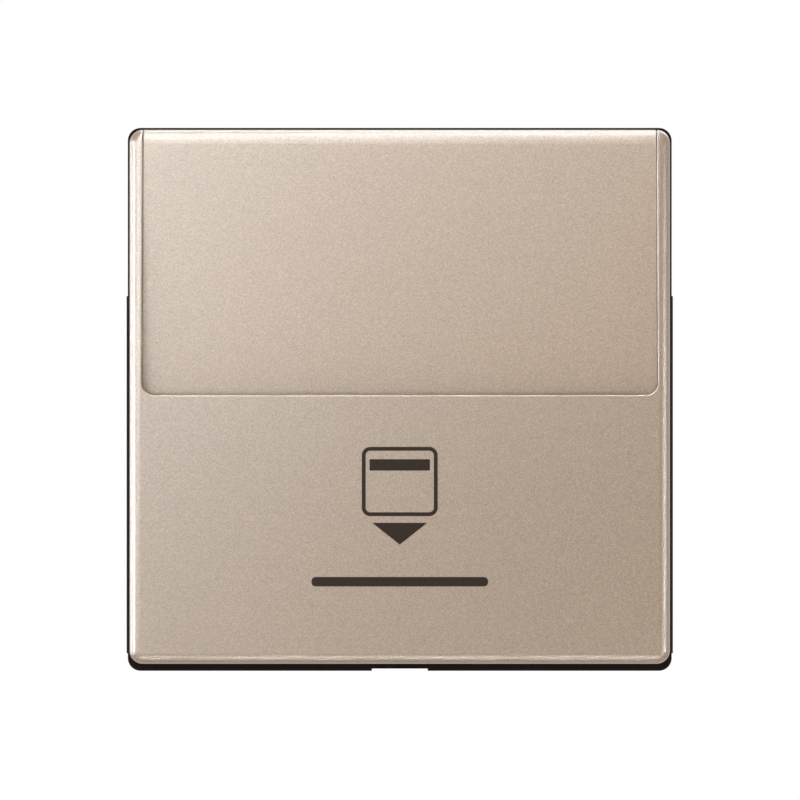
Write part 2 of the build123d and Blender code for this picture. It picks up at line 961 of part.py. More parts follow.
def contact_strip(side):
    """Fixed strip on the shelf, with its terminal bar down to the wires."""
    x = side * contact_spacing_half
    terminal = side * (wire_inner + wire_outer) / 2
    half = strip_width / 2
    level = (shelf_top, strip_top)
    outer = terminal + side * half
    strip = block(
        (x - side * half, outer), span(half, button_height), level
    )
    strip += block(
        (terminal - side * half, outer),
        (button_height - half, terminal_bar_height),
        level,
    )
    strip += block(
        span(terminal_bar_half_width, terminal),
        (terminal_bar_height - strip_wall, terminal_bar_height),
        (strip_top, base_rear + rear_lug_height),
    )
    strip -= rod(contact_stud_radius, x, button_height, (shelf_top - overrun, 0))
    return strip


def terminal_clamps():
    """Four bent clamp springs that press the wires on the terminal bars."""
    clamps = []
    bend_reach = shelf_bottom - clamp_wall
    end_reach = base_rear + clamp_end_gap
    tip_reach = bend_reach + clamp_tip_share * (end_reach - bend_reach)
    tip_height = terminal_bar_height + clamp_tip_gap + clamp_wall / 2
    for x in wire_places():
        back = clamp_back_height - clamp_wall / 2
        line = FilletPolyline(
            (back, end_reach),
            (back, bend_reach),
            (wire_height + clamp_reach / 2, bend_reach),
            (tip_height, tip_reach),
            radius=clamp_bend_radius,
        )
        strip = trace(line, clamp_wall)
        solid = extrude(Plane.YZ * strip, 2 * clamp_half_width)
        clamps.append(Pos(x - clamp_half_width, 0, 0) * solid)
    return group(clamps)


def wire_places():
    """Sideways places of the four wire entries."""
    return (-wire_outer, -wire_inner, wire_inner, wire_outer)


def release_lever(side):
    """Slider that frees the two wires of one terminal."""
    x = side * (wire_inner + wire_outer) / 2
    low = wire_height + release_above_wire
    return block(
        span(release_half_width, x),
        (low, low + release_wall),
        (rear_cover_face - release_proud, rear_cover_face - release_proud + release_length),
    )


def switch_base():
    """Base in the wall box, with the contact chamber, the shelf and the terminal chamber."""
    base = round_block(
        base_half_width, base_half_height, (base_rear, carrier_wall), base_corner_radius
    )
    inner_x = span(base_half_width - base_wall)
    inner_y = span(base_half_height - base_wall)
    base -= block(inner_x, inner_y, (shelf_top, carrier_wall + overrun))
    base -= block(inner_x, inner_y, (base_rear - overrun, shelf_bottom))
    for x, y in frame_screw_places():
        base += rod(frame_post_radius, x, y, (shelf_bottom, carrier_wall))
    for x, y in frame_screw_places():
        base -= rod(frame_screw_radius, x, y, (shelf_top, carrier_wall + overrun))
    base += rod(cup_radius + cup_wall, 0, button_height, (cup_floor - cup_wall, shelf_top))
    base -= rod(cup_radius, 0, button_height, (cup_floor, carrier_wall))
    for side in (-1, 1):
        terminal = side * (wire_inner + wire_outer) / 2
        base -= block(
            span(terminal_bar_half_width + rear_lug_play, terminal),
            (terminal_bar_height - strip_wall - rear_lug_play, terminal_bar_height + rear_lug_play),
            (shelf_bottom - overrun, shelf_top + overrun),
        )
    return base


def base_rear_cover():
    """Rear lid of the base, with the wire entries and the release slots."""
    lid = round_block(
        base_half_width, base_half_height, (rear_cover_face, base_rear), base_corner_radius
    )
    lug_y = base_half_height - base_wall - rear_lug_play
    for row in (-1, 1):
        lid += block(
            span(rear_lug_length / 2),
            (row * lug_y, row * (lug_y - rear_lug_wall)),
            (base_rear, base_rear + rear_lug_height),
        )
    for x in wire_places():
        lid -= rod(wire_hole_radius, x, wire_height, (rear_cover_face - overrun, 0))
    low = wire_height + release_above_wire
    for side in (-1, 1):
        x = side * (wire_inner + wire_outer) / 2
        lid -= block(
            span(release_half_width + release_play, x),
            (low - release_play, low + release_wall + release_play),
            (rear_cover_face - overrun, 0),
        )
    return lid


def claw(side):
    """Spreading claw: two ears on the cross nut, a web along the screw, and three teeth."""
    x = side * claw_x
    web_inner = x + side * (claw_nut_radius + claw_web_gap)
    web_outer = web_inner + side * claw_web_wall
    rear = claw_z - claw_length
    body = block(
        (web_inner, web_outer), span(claw_half_height), (claw_z + claw_ear_radius, rear)
    )
    for row in (-1, 1):
        ear = (row * claw_half_height, row * (claw_half_height - claw_ear_wall))
        body += upright_rod(claw_ear_radius, x, ear, claw_z)
        body += block((x, web_outer), ear, span(claw_ear_radius, claw_z))
    body -= upright_rod(
        claw_trunnion_radius + pin_play, x, span(claw_half_height + overrun), claw_z
    )
    pitch = 2 * claw_half_height / claw_tooth_count
    for tooth in range(claw_tooth_count):
        low = -claw_half_height + pitch * tooth
        outline = Polygon(
            (web_outer, low),
            (web_outer + side * claw_tooth_reach, low + pitch / 2),
            (web_outer, low + pitch),
            align=None,
        )
        body += Pos(0, 0, rear) * extrude(outline, claw_tooth_wall, dir=(0, 0, 1))
    return body


def claw_nut(side):
    """Cross nut with a trunnion at each end, threaded on the claw screw."""
    x = side * claw_x
    half = claw_half_height - claw_ear_wall - claw_nut_gap
    nut = upright_rod(claw_nut_radius, x, span(half), claw_z)
    nut += upright_rod(claw_trunnion_radius, x, span(claw_half_height), claw_z)
    through = (claw_z - claw_nut_radius - overrun, claw_z + claw_nut_radius + overrun)
    return nut - rod(claw_screw_radius + claw_screw_play, x, 0, through)


def claw_screw(side):
    """Slotted screw that spreads the claw, its head on the front of the carrier plate."""
    x = side * claw_x
    seat = carrier_wall + claw_screw_seat_gap
    top = seat + claw_screw_head_height
    head = rod(claw_screw_head_radius, x, 0, (seat, top))
    shank = rod(claw_screw_radius, x, 0, (claw_z - claw_screw_tail, seat))
    slot = block(
        span(claw_screw_head_radius + overrun, x),
        span(claw_screw_slot_width / 2),
        (top - claw_screw_slot_depth, top + overrun),
    )
    return head + shank - slot


def stand_up(shape):
    """Turn a piece from the bench to the wall: Z up, front towards minus Y."""
    return Plane.XZ.location * shape


pieces = {
    "front_cover": front_cover(),
    "upper_panel": upper_panel(),
    "rear_housing": rear_housing(),
    "card_back_plate": card_back_plate(),
    "card_springs": card_springs(),
    "card_lever": card_lever(),
    "lever_pin": lever_pin(),
    "lever_spring": lever_spring(),
    "housing_screws": housing_screws(),
    "carrier_plate": carrier_plate(),
    "front_frame": front_frame(),
    "plate_rivets": plate_rivets(),
    "push_button": push_button(),
    "button_spring": button_spring(),
    "contact_spring": contact_spring(),
    "contact_bridge": contact_bridge(),
    "bridge_contacts": bridge_contacts(),
    "contact_strip_left": contact_strip(-1),
    "contact_strip_right": contact_strip(1),
    "fixed_contacts": fixed_contacts(),
    "terminal_clamps": terminal_clamps(),
    "release_lever_left": release_lever(-1),
    "release_lever_right": release_lever(1),
    "switch_base": switch_base(),
    "base_rear_cover": base_rear_cover(),
    "frame_screws": frame_screws(),
    "claw_left": claw(-1),
    "claw_right": claw(1),
    "claw_nut_left": claw_nut(-1),
    "claw_nut_right": claw_nut(1),
    "claw_screw_left": claw_screw(-1),
    "claw_screw_right": claw_screw(1),
}

os.makedirs("parts", exist_ok=True)
for name, shape in pieces.items():
    export_step(stand_up(shape), f"parts/{name}.step")
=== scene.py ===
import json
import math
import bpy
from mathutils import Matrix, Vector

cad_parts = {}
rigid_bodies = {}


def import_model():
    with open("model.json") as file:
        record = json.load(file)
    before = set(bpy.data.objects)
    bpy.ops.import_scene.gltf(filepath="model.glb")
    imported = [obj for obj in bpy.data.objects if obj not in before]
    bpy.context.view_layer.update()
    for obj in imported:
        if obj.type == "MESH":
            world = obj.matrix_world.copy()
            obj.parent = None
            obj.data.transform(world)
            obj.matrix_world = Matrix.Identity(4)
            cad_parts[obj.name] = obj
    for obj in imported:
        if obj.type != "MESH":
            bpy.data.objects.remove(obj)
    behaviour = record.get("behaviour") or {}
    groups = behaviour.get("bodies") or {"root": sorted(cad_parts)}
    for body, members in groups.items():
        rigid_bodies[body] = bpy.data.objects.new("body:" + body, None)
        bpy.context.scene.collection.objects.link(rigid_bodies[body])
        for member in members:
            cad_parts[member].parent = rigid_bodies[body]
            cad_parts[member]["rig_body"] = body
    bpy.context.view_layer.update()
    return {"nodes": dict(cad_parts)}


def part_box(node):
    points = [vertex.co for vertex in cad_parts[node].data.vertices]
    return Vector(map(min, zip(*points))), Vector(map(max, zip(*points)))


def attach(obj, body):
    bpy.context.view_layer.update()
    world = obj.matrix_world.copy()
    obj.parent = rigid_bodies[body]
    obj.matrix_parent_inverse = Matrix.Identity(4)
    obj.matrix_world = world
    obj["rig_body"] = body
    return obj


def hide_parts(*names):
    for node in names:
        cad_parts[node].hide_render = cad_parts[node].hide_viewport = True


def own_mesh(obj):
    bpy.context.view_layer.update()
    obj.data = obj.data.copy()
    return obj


bl_info = {
    "name": "Hotel key card switch",
    "version": (1, 0, 0),
    "blender": (4, 5, 0),
    "location": "3D View > Sidebar > Card switch",
    "description": "Gives the card switch its finishes and fine parts, and sets up its studio",
    "category": "Object",
}

from typing import NamedTuple

import bmesh
import bpy
from mathutils import Vector
from mathutils.kdtree import KDTree

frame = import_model()

MM = 0.001
WHITE = (1, 1, 1, 1)
# Corners of a CAD mesh that lie nearer to each other than this are one corner.
WELD = 0.001 * MM
# Ways that the head of a fastener can face, as quarter turns about X
TO_FRONT = 1
TO_WALL = -1
# Outlines of domed heads, as shares of their radius and height
RIVET_DOME = ((1, 0.62), (0.93, 0.8), (0.7, 0.94), (0.35, 0.99))
SCREW_DOME = ((1, 0.5), (0.96, 0.78), (0.8, 0.92), (0.4, 0.99))

# The object faces -Y, so the front of the cover is its lowest Y.
cover_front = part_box("front_cover")[0].y


def linear_colour(code):
    """Linear red, green and blue of an sRGB hex value."""
    parts = [int(code[i : i + 2], 16) / 255 for i in (0, 2, 4)]
    return tuple(p / 12.92 if p <= 0.04045 else ((p + 0.055) / 1.055) ** 2.4 for p in parts)


def opaque(code):
    """Linear colour of an sRGB hex value with full alpha."""
    return (*linear_colour(code), 1)


def colour(name, description, code):
    """Colour property with a hex default."""
    return bpy.props.FloatVectorProperty(
        name=name, description=description, subtype="COLOR", size=3, min=0, max=1,
        default=linear_colour(code),
    )


def length(name, description, millimetres):
    """Length property with its default in millimetres."""
    return bpy.props.FloatProperty(
        name=name, description=description, subtype="DISTANCE", unit="LENGTH", min=0,
        default=millimetres * MM,
    )


class CardSwitchColours(bpy.types.PropertyGroup):
    """Colours that a user would change."""

    lacquer: colour("Lacquer", "Champagne lacquer of the cover", "9A8063")
    housing: colour("Housing", "Dark plastic of the housing", "1A110C")
    pocket: colour("Card pocket", "Black plastic behind the card", "17181A")
    insert: colour("Insert", "White plastic of the frame and the button", "E9E8E2")
    base: colour("Base", "Grey thermoset of the base", "8E9092")
    release: colour("Release levers", "Orange plastic of the release levers", "D9661F")
    ink: colour("Ink", "Ink of the pictogram", "302317")


class CardSwitchSizes(bpy.types.PropertyGroup):
    """Sizes of the fine parts that a user would change."""

    card_mark_width: length("Card mark width", "Width of the printed card", 8.0)
    card_mark_height: length("Card mark height", "Height of the printed card", 7.3)
    card_mark_drop: length("Card mark drop", "From the middle of the cover to the card's top", 5.0)
    ink_line: length("Ink line", "Width of the printed lines", 0.41)
    slot_mark_width: length("Slot mark width", "Width of the printed slot under the card", 18.6)
    slot_mark_drop: length("Slot mark drop", "From the middle of the cover to the slot", 19.2)
    edge_softening: length("Edge softening", "Radius on the edges of moulded pieces", 0.12)
    claw_thread_pitch: length("Claw thread pitch", "Pitch of the claw screws", 0.5)


def add_node(tree, kind, inputs=None, **settings):
    """Add a node, set it up, and give its sockets their values or links."""
    node = tree.nodes.new(kind)
    for name, value in settings.items():
        setattr(node, name, value)
    for key, value in (inputs or {}).items():
        if isinstance(value, bpy.types.NodeSocket):
            tree.links.new(value, node.inputs[key])
        else:
            node.inputs[key].default_value = value
    return node


def new_material(name):
    """Material with an empty node tree."""
    material = bpy.data.materials.new(name)
    material.use_nodes = True
    material.node_tree.nodes.clear()
    return material, material.node_tree


def surface(tree, inputs):
    """Principled shader with its output."""
    shader = add_node(tree, "ShaderNodeBsdfPrincipled", inputs)
    add_node(tree, "ShaderNodeOutputMaterial", {"Surface": shader.outputs["BSDF"]})


def place_in_mm(tree, stretch=(1, 1, 1)):
    """Place on the piece in millimetres, on which a pattern comes out longer by its stretch."""
    place = add_node(tree, "ShaderNodeTexCoord")
    scale = [1 / MM / s for s in stretch]
    # Noise is faint along its own grid planes, so the grid is turned away from the flat faces.
    mapping = add_node(tree, "ShaderNodeMapping", {
        "Vector": place.outputs["Object"], "Scale": scale, "Rotation": (0.6, 0.4, 0.2),
    })
    return mapping.outputs["Vector"]


def grain(tree, place, size, low, high, detail=2):
    """Value that wanders between a low and a high one over grains of a size in millimetres."""
    noise = add_node(
        tree, "ShaderNodeTexNoise", {"Vector": place, "Scale": 1 / size, "Detail": detail}
    )
    # Noise keeps to about a fifth on either side of a half.
    value = add_node(tree, "ShaderNodeMapRange", {
        "Value": noise.outputs["Fac"], "From Min": 0.3, "From Max": 0.7,
        "To Min": low, "To Max": high,
    })
    return value.outputs[0]


def mottled(tree, tint, place, size, low, high, detail=2):
    """Tint whose brightness wanders between two shares of its own over grains of a size."""
    brightness = grain(tree, place, size, low, high, detail)
    tone = add_node(
        tree, "ShaderNodeMix", {0: 1, 6: (*tint, 1), 7: brightness},
        data_type="RGBA", blend_type="MULTIPLY",
    )
    return tone.outputs[2]


def clouded(tree, first, second, place, size, most, detail):
    """Colour that wanders from a first hex value towards a second one, by at most a share."""
    share = grain(tree, place, size, 0, most, detail)
    tone = add_node(
        tree, "ShaderNodeMix", {0: share, 6: opaque(first), 7: opaque(second)}, data_type="RGBA"
    )
    return tone.outputs[2]


def relief(tree, place, size, depth, detail=2):
    """Normal of a surface with grains of a size and a depth, both in millimetres."""
    noise = add_node(
        tree, "ShaderNodeTexNoise", {"Vector": place, "Scale": 1 / size, "Detail": detail}
    )
    bump = add_node(tree, "ShaderNodeBump", {
        "Height": noise.outputs["Fac"], "Distance": depth * MM, "Strength": 1,
    })
    return bump.outputs["Normal"]


def champagne_lacquer(tint):
    """Metallic lacquer sprayed on moulded ABS, under a satin clear coat."""
    material, tree = new_material("champagne_metallic_lacquer")
    place = place_in_mm(tree)
    # Aluminium flakes give a quiet sparkle. Real ones are 0.03 mm wide, drawn five times as coarse.
    flake = 0.15
    # Sprayed lacquer dries with a faint orange peel, in shallow waves this wide.
    peel = 1.5
    surface(tree, {
        "Base Color": mottled(tree, tint, place, flake, 0.74, 1.26, detail=1),
        "Roughness": grain(tree, place, flake, 0.38, 0.48, detail=1),
        "IOR": 1.5,
        "Coat Weight": 1.0,
        "Coat Roughness": 0.32,
        "Normal": relief(tree, place, peel, 0.0005, detail=0),
    })
    return material


def dark_abs(tint):
    """ABS moulded in a spark-eroded tool, so matt and finely pitted."""
    material, tree = new_material("spark_eroded_dark_abs")
    place = place_in_mm(tree)
    pit = 0.12
    # Handling polishes the pits unevenly, in patches this wide.
    wear = 6
    # The pits swallow most of the plastic's gloss, so its specular level is low.
    surface(tree, {
        "Base Color": mottled(tree, tint, place, wear, 0.9, 1.15, detail=3),
        "Roughness": grain(tree, place, wear, 0.58, 0.72, detail=3),
        "IOR": 1.53,
        "Specular IOR Level": 0.12,
        "Normal": relief(tree, place, pit, 0.01),
    })
    return material


def black_abs(tint):
    """ABS from a polished tool, rubbed along the card's way."""
    material, tree = new_material("rubbed_black_abs")
    # Cards leave fine upright rub marks, this wide and forty times as long.
    rub = 0.15
    place = place_in_mm(tree, (1, 1, 40))
    surface(tree, {
        "Base Color": (*tint, 1),
        "Roughness": grain(tree, place, rub, 0.3, 0.5),
        "IOR": 1.53,
        "Normal": relief(tree, place, rub, 0.003),
    })
    return material


def white_polycarbonate(tint):
    """Polycarbonate from a satin tool, slightly uneven in tone and faintly translucent."""
    material, tree = new_material("satin_white_polycarbonate")
    place = place_in_mm(tree)
    cloud = 5
    satin = 0.1
    surface(tree, {
        "Base Color": mottled(tree, tint, place, cloud, 0.96, 1.0),
        "Roughness": 0.38,
        "IOR": 1.585,
        "Subsurface Weight": 0.04,
        "Subsurface Scale": 0.5 * MM,
        "Normal": relief(tree, place, satin, 0.004),
    })
    return material


def grey_thermoset(tint):
    """Pressed urea thermoset, hard and matt, with pale filler specks and flow marks."""
    material, tree = new_material("pressed_grey_thermoset")
    place = place_in_mm(tree)
    speck = 0.25
    # The powder flows in the mould and leaves soft streaks a few millimetres apart.
    flow = grain(tree, place_in_mm(tree, (1, 4, 1)), 3, 0.93, 1.05, detail=3)
    specks = mottled(tree, tint, place, speck, 0.9, 1.12, detail=4)
    tone = add_node(
        tree, "ShaderNodeMix", {0: 1, 6: specks, 7: flow}, data_type="RGBA", blend_type="MULTIPLY"
    )
    surface(tree, {
        "Base Color": tone.outputs[2],
        "Roughness": grain(tree, place, speck, 0.5, 0.65, detail=4),
        "IOR": 1.55,
        "Normal": relief(tree, place, speck, 0.006, detail=4),
    })
    return material


def orange_pbt(tint):
    """Glass-filled PBT, slightly dull, with short fibres near its skin."""
    material, tree = new_material("glass_filled_orange_pbt")
    # Real fibres are 0.01 mm thick, drawn this thick and six times as long, along the lever's way.
    fibre = 0.2
    place = place_in_mm(tree, (1, 6, 1))
    surface(tree, {
        "Base Color": mottled(tree, tint, place, fibre, 0.92, 1.06, detail=3),
        "Roughness": grain(tree, place, fibre, 0.42, 0.58, detail=3),
        "IOR": 1.57,
        "Normal": relief(tree, place, fibre, 0.004, detail=3),
    })
    return material


def zinc_plated_steel():
    """Rolled steel sheet with bright zinc, which shows the rolling direction and a blue cast."""
    material, tree = new_material("zinc_plated_sheet_steel")
    # Rolling lines run along X, about 0.1 mm apart, drawn twice as far apart.
    line = 0.2
    rolled = place_in_mm(tree, (30, 1, 1))
    # The passivated zinc clouds over a few millimetres between blue and faint yellow.
    cloud = 4
    place = place_in_mm(tree)
    surface(tree, {
        "Base Color": clouded(tree, "B9BEC4", "C9C6B8", place, cloud, 1, detail=3),
        "Metallic": 1.0,
        "Roughness": grain(tree, rolled, line, 0.3, 0.46, detail=3),
        "Normal": relief(tree, rolled, line, 0.004, detail=3),
    })
    return material


def turned_screw_steel():
    """Nickel-plated steel, turned and threaded, a little darker than the sheet."""
    material, tree = new_material("nickel_plated_turned_steel")
    # Turning leaves fine rings round a screw's axis, which lies along Y.
    mark = 0.4
    place = place_in_mm(tree, (1, 0.15, 1))
    surface(tree, {
        "Base Color": opaque("A9A59C"),
        "Metallic": 1.0,
        "Roughness": grain(tree, place, mark, 0.22, 0.38),
        "Normal": relief(tree, place, mark, 0.003),
    })
    return material


def drawn_spring_wire():
    """Drawn spring steel, dark and oily, with streaks from the die."""
    material, tree = new_material("drawn_spring_steel")
    streak = 0.15
    place = place_in_mm(tree, (1, 1, 3))
    surface(tree, {
        "Base Color": mottled(tree, linear_colour("8C8E92"), place, streak, 0.85, 1.1, detail=3),
        "Metallic": 1.0,
        "Roughness": grain(tree, place, streak, 0.25, 0.4, detail=3),
    })
    return material


def stamped_brass():
    """Stamped brass strip with brown tarnish beginning in patches."""
    material, tree = new_material("stamped_contact_brass")
    place = place_in_mm(tree)
    tarnish = 2.5
    surface(tree, {
        "Base Color": clouded(tree, "D6B468", "9A7A45", place, tarnish, 0.6, detail=4),
        "Metallic": 1.0,
        "Roughness": grain(tree, place, tarnish, 0.25, 0.42, detail=4),
    })
    return material


def contact_silver():
    """Silver alloy contact rivets with a thin grey sulphide bloom."""
    material, tree = new_material("silver_contact_alloy")
    place = place_in_mm(tree)
    bloom = 0.6
    surface(tree, {
        "Base Color": mottled(tree, linear_colour("DEDCD6"), place, bloom, 0.78, 1.0, detail=3),
        "Metallic": 1.0,
        "Roughness": grain(tree, place, bloom, 0.22, 0.4, detail=3),
    })
    return material


def pad_printing_ink(tint):
    """Pad-printed ink, matt, with a slightly uneven film."""
    material, tree = new_material("pad_printing_ink")
    place = place_in_mm(tree)
    film = 0.25
    surface(tree, {
        "Base Color": mottled(tree, tint, place, film, 0.88, 1.12, detail=3),
        "Roughness": grain(tree, place, film, 0.62, 0.74, detail=3),
        "IOR": 1.5,
        "Specular IOR Level": 0.08,
    })
    return material


def studio_paper():
    """Matt white paper that camera and mirror rays see as white, apart from its shadows."""
    material, tree = new_material("matt_white_studio_paper")
    fibre = 0.5
    tone = mottled(tree, linear_colour("F4F3F0"), place_in_mm(tree), fibre, 0.97, 1.0, detail=4)
    diffuse = add_node(tree, "ShaderNodeBsdfDiffuse", {"Color": tone})
    white = add_node(tree, "ShaderNodeEmission", {"Color": WHITE, "Strength": 1.0})
    # The shadow shows near the object, and the paper runs out into plain white.
    shadow_reach = 0.12
    plain_from = 0.6
    white_share_near = 0.55
    place = add_node(tree, "ShaderNodeTexCoord")
    far = add_node(
        tree, "ShaderNodeVectorMath", {0: place.outputs["Object"]}, operation="LENGTH"
    )
    fade = add_node(tree, "ShaderNodeMapRange", {
        "Value": far.outputs["Value"], "From Min": shadow_reach, "From Max": plain_from,
        "To Min": white_share_near, "To Max": 1.0,
    }, interpolation_type="SMOOTHSTEP")
    share = add_node(
        tree, "ShaderNodeMath", {0: fade.outputs[0], 1: seen_directly(tree)}, operation="MULTIPLY"
    )
    paper = add_node(
        tree, "ShaderNodeMixShader",
        {0: share.outputs[0], 1: diffuse.outputs[0], 2: white.outputs[0]},
    )
    add_node(tree, "ShaderNodeOutputMaterial", {"Surface": paper.outputs[0]})
    return material


def seen_directly(tree):
    """One for rays from the camera, from a mirror or through glass."""
    ray = add_node(tree, "ShaderNodeLightPath").outputs
    either = add_node(
        tree, "ShaderNodeMath", {0: ray["Is Camera Ray"], 1: ray["Is Glossy Ray"]},
        operation="MAXIMUM",
    )
    any_of_three = add_node(
        tree, "ShaderNodeMath", {0: either.outputs[0], 1: ray["Is Transmission Ray"]},
        operation="MAXIMUM",
    )
    return any_of_three.outputs[0]


def finish_nodes(material, *names):
    """Give CAD nodes that keep their shape a material."""
    for name in names:
        mesh = frame["nodes"][name].data
        mesh.materials.clear()
        mesh.materials.append(material)


def body_name(node):
    """Body that a CAD node rides on."""
    return frame["nodes"][node]["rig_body"]


def add_piece(name, mesh, material, body):
    """Object for a finished mesh, on its body and with its material. No material leaves it its own.
    """
    if material:
        mesh.materials.clear()
        mesh.materials.append(material)
    piece = bpy.data.objects.new(name, mesh)
    bpy.context.scene.collection.objects.link(piece)
    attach(piece, body)
    return piece


def smooth(mesh, degrees=35):
    """Smooth shading with edges sharper than the angle kept."""
    mesh.polygons.foreach_set("use_smooth", [True] * len(mesh.polygons))
    mesh.set_sharp_from_angle(angle=math.radians(degrees))


def welded(node):
    """Editable copy of a CAD node's mesh with its loose triangles joined."""
    work = bmesh.new()
    work.from_mesh(frame["nodes"][node].data)
    bmesh.ops.remove_doubles(work, verts=work.verts, dist=WELD)
    return work


def finished_mesh(work, name):
    """Mesh from an editable one, which is freed."""
    mesh = bpy.data.meshes.new(name)
    work.to_mesh(mesh)
    work.free()
    return mesh


def keep_normals(mesh, node):
    """Give a cut copy of a CAD node that node's own normals where its corners still are."""
    source = frame["nodes"][node].data
    corners = [
        (source.vertices[source.loops[corner].vertex_index].co, face.normal, corner)
        for face in source.polygons for corner in face.loop_indices
    ]
    places = KDTree(len(corners))
    for number, (place, _, _) in enumerate(corners):
        places.insert(place, number)
    places.balance()
    # A cosine above this means that two faces lie in one plane.
    same_plane = 0.99
    normals = []
    for face in mesh.polygons:
        for vertex in face.vertices:
            near = places.find_range(mesh.vertices[vertex].co, 2 * WELD)
            match = max(near, key=lambda n: corners[n[1]][1].dot(face.normal), default=None)
            if match and corners[match[1]][1].dot(face.normal) > same_plane:
                normals.append(source.corner_normals[corners[match[1]][2]].vector.copy())
            else:
                normals.append(face.normal.copy())
    mesh.polygons.foreach_set("use_smooth", [True] * len(mesh.polygons))
    mesh.normals_split_custom_set(normals)


def soften(node, material, width):
    """Replace a CAD node by its joined copy with rounded edges."""
    mesh = finished_mesh(welded(node), node + "_merged")
    smooth(mesh)
    piece = add_piece(node + "_soft", mesh, material, body_name(node))
    bevel = piece.modifiers.new("rounded_edges", "BEVEL")
    bevel.width = width
    bevel.segments = 2
    bevel.limit_method = "ANGLE"
    bevel.angle_limit = math.radians(40)
    piece.modifiers.new("even_shading", "WEIGHTED_NORMAL")
    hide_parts(node)


def solid_boxes(node):
    """Lowest and highest corner of each separate solid of a CAD node, from left to right."""
    work = welded(node)
    waiting = set(work.verts)
    boxes = []
    while waiting:
        front = [waiting.pop()]
        found = []
        while front:
            vert = front.pop()
            found.append(vert.co.copy())
            for edge in vert.link_edges:
                other = edge.other_vert(vert)
                if other in waiting:
                    waiting.remove(other)
                    front.append(other)
        low = Vector(min(p[i] for p in found) for i in range(3))
        high = Vector(max(p[i] for p in found) for i in range(3))
        boxes.append((low, high))
    work.free()
    return sorted(boxes, key=lambda box: tuple(box[0]))


def rounded_outline(half_width, half_height, radius, steps=10):
    """Points round a rectangle with rounded corners, anticlockwise."""
    points = []
    for corner, (sx, sz) in enumerate(((1, 1), (-1, 1), (-1, -1), (1, -1))):
        for step in range(steps + 1):
            angle = math.pi / 2 * (corner + step / steps)
            x = sx * (half_width - radius) + radius * math.cos(angle)
            z = sz * (half_height - radius) + radius * math.sin(angle)
            points.append((x, z))
    return points


def ink_mesh(work, outer, inner, centre, front, back):
    """Add a flat ring of ink, or with no inner outline a flat patch, to a mesh."""
    cx, cz = centre

    def ring(points, y):
        return [work.verts.new((cx + x, y, cz + z)) for x, z in points]

    outer_front = ring(outer, front)
    outer_back = ring(outer, back)
    count = len(outer)
    for i in range(count):
        j = (i + 1) % count
        work.faces.new((outer_front[i], outer_front[j], outer_back[j], outer_back[i]))
    if inner is None:
        work.faces.new(outer_front)
        work.faces.new(reversed(outer_back))
        return
    inner_front = ring(inner, front)
    inner_back = ring(inner, back)
    for i in range(count):
        j = (i + 1) % count
        work.faces.new((inner_front[j], inner_front[i], inner_back[i], inner_back[j]))
        work.faces.new((outer_front[j], outer_front[i], inner_front[i], inner_front[j]))
        work.faces.new((outer_back[i], outer_back[j], inner_back[j], inner_back[i]))


def pictogram_mesh(sizes, front, back):
    """Card with its stripe, arrow and slot, drawn through the front of the cover."""
    line = sizes.ink_line
    half_width = sizes.card_mark_width / 2
    half_height = sizes.card_mark_height / 2
    corner = 0.9 * MM
    card_middle = -sizes.card_mark_drop - half_height
    stripe_half_width = half_width - 2 * line
    stripe_half_height = 0.6 * MM
    stripe_corner = 0.05 * MM
    stripe_below_top = 1.9 * MM
    stripe_middle = card_middle + half_height - stripe_below_top
    arrow_below_card = 0.7 * MM
    arrow_top = card_middle - half_height - arrow_below_card
    arrow_half_width = 2.9 * MM
    arrow_height = 2.3 * MM
    slot_half_width = sizes.slot_mark_width / 2
    slot_half_height = 0.5 * MM
    slot_corner = 0.9 * slot_half_height
    work = bmesh.new()
    outer = rounded_outline(half_width, half_height, corner)
    inner = rounded_outline(half_width - line, half_height - line, corner - line)
    ink_mesh(work, outer, inner, (0, card_middle), front, back)
    stripe = rounded_outline(stripe_half_width, stripe_half_height, stripe_corner)
    ink_mesh(work, stripe, None, (0, stripe_middle), front, back)
    arrow = [(0, -arrow_height), (arrow_half_width, 0), (-arrow_half_width, 0)]
    ink_mesh(work, arrow, None, (0, arrow_top), front, back)
    slot = rounded_outline(slot_half_width, slot_half_height, slot_corner)
    ink_mesh(work, slot, None, (0, -sizes.slot_mark_drop), front, back)
    bmesh.ops.recalc_face_normals(work, faces=work.faces)
    return finished_mesh(work, "pictogram")


def new_tree(name, sockets):
    """Geometry tree with named inputs after its geometry, and the sockets of its input node."""
    tree = bpy.data.node_groups.new(name, "GeometryNodeTree")
    tree.interface.new_socket("Geometry", in_out="INPUT", socket_type="NodeSocketGeometry")
    for label, kind in sockets.items():
        tree.interface.new_socket(label, in_out="INPUT", socket_type=kind)
    tree.interface.new_socket("Geometry", in_out="OUTPUT", socket_type="NodeSocketGeometry")
    return tree, add_node(tree, "NodeGroupInput").outputs


def close_tree(tree, geometry, material):
    """End a geometry tree in real geometry with its material."""
    real = add_node(tree, "GeometryNodeRealizeInstances", {"Geometry": geometry})
    coated = add_node(
        tree, "GeometryNodeSetMaterial", {"Geometry": real.outputs[0], "Material": material}
    )
    add_node(tree, "NodeGroupOutput", {"Geometry": coated.outputs[0]})


def made_at_points(tree, points, values):
    """Mesh that a geometry tree makes at points from its named inputs."""
    mesh = bpy.data.meshes.new("points")
    mesh.from_pydata(points, [], [])
    holder = bpy.data.objects.new("holder", mesh)
    bpy.context.scene.collection.objects.link(holder)
    modifier = holder.modifiers.new("made", "NODES")
    modifier.node_group = tree
    for item in tree.interface.items_tree:
        if item.in_out == "INPUT" and item.name in values:
            modifier[item.identifier] = values[item.name]
    bpy.context.view_layer.update()
    graph = bpy.context.evaluated_depsgraph_get()
    result = bpy.data.meshes.new_from_object(holder.evaluated_get(graph))
    holder.modifiers.remove(modifier)
    bpy.data.objects.remove(holder)
    smooth(result)
    return result


